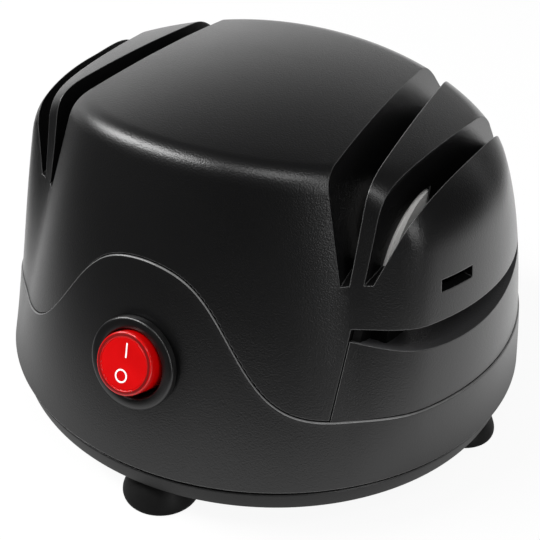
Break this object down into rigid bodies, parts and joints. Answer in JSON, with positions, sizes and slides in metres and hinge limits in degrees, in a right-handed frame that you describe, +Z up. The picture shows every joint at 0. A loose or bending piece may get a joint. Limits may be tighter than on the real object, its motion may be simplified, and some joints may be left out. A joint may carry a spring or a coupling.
{
  "type": "electric knife sharpener",
  "caption": "Round domed electric sharpener with V-shaped knife slots, a scissors recess, a screwdriver port, a rocker switch and a motor that turns grinding wheels.",
  "frame": {"origin": "on the floor, below the centre of the round base", "axes": "+Z up, -Y towards the front with the switch, +X towards the side with the scissors recess"},
  "size_m": [0.1488, 0.1495, 0.1001],
  "materials": {
    "shell": "fine satin texture, moulded black",
    "base": "fine satin texture, moulded black",
    "bezel": "semi-gloss black",
    "rocker": "clear glossy red",
    "rubber": "smooth black rubber",
    "fine_stone": "fine white ceramic grit",
    "coarse_stone": "coarse grey-brown grit",
    "steel": "bright zinc-plated or ground steel",
    "iron": "stacked steel sheets with dark edges",
    "zinc": "die-cast, dull",
    "copper": "enamelled copper",
    "bronze": "sintered bronze",
    "brass": "plain sheet brass",
    "carbon": "pressed graphite",
    "fan": "natural nylon"
  },
  "bodies": {
    "housing": {"top_housing": "shell", "base_housing": "base", "scissors_panel": "shell", "bottom_cover": "base", "suction_foot_front": "rubber", "suction_foot_right": "rubber", "suction_foot_rear": "rubber", "suction_foot_left": "rubber", "cord_gland": "rubber", "switch_body": "bezel", "switch_terminal_upper": "brass", "switch_terminal_lower": "brass", "stator_core": "iron", "field_coil_upper": "copper", "field_coil_lower": "copper", "brush_holder_front": "brass", "brush_holder_rear": "brass", "carbon_brush_front": "carbon", "carbon_brush_rear": "carbon", "bearing_left": "bronze", "bearing_right": "bronze", "end_bracket_left": "zinc", "end_bracket_right": "zinc", "motor_bolt_upper": "steel", "motor_bolt_lower": "steel", "motor_mount_screw_left_front": "steel", "motor_mount_screw_left_rear": "steel", "motor_mount_screw_right_front": "steel", "motor_mount_screw_right_rear": "steel", "housing_screw_front_left": "steel", "housing_screw_front_right": "steel", "housing_screw_rear_left": "steel", "housing_screw_rear_right": "steel"},
    "rotor": {"motor_shaft": "steel", "armature_core": "iron", "armature_winding_left": "copper", "armature_winding_right": "copper", "commutator": "copper", "cooling_fan": "fan", "wheel_hub_left": "steel", "wheel_hub_right": "steel", "grinding_wheel_coarse": "coarse_stone", "grinding_wheel_fine": "fine_stone", "wheel_nut_left": "steel", "wheel_nut_right": "steel"},
    "rocker": {"switch_rocker": "rocker"}
  },
  "joints": [
    {"name": "rotor_spin", "type": "hinge", "parent": "housing", "child": "rotor", "pos_m": [0, -0.014, 0.0635], "axis": [1, 0, 0], "continuous": true},
    {"name": "rocker_tilt", "type": "hinge", "parent": "housing", "child": "rocker", "pos_m": [0.0012, -0.06526, 0.04419], "axis": [1, 0, 0], "range_deg": [0, 17]}
  ]
}
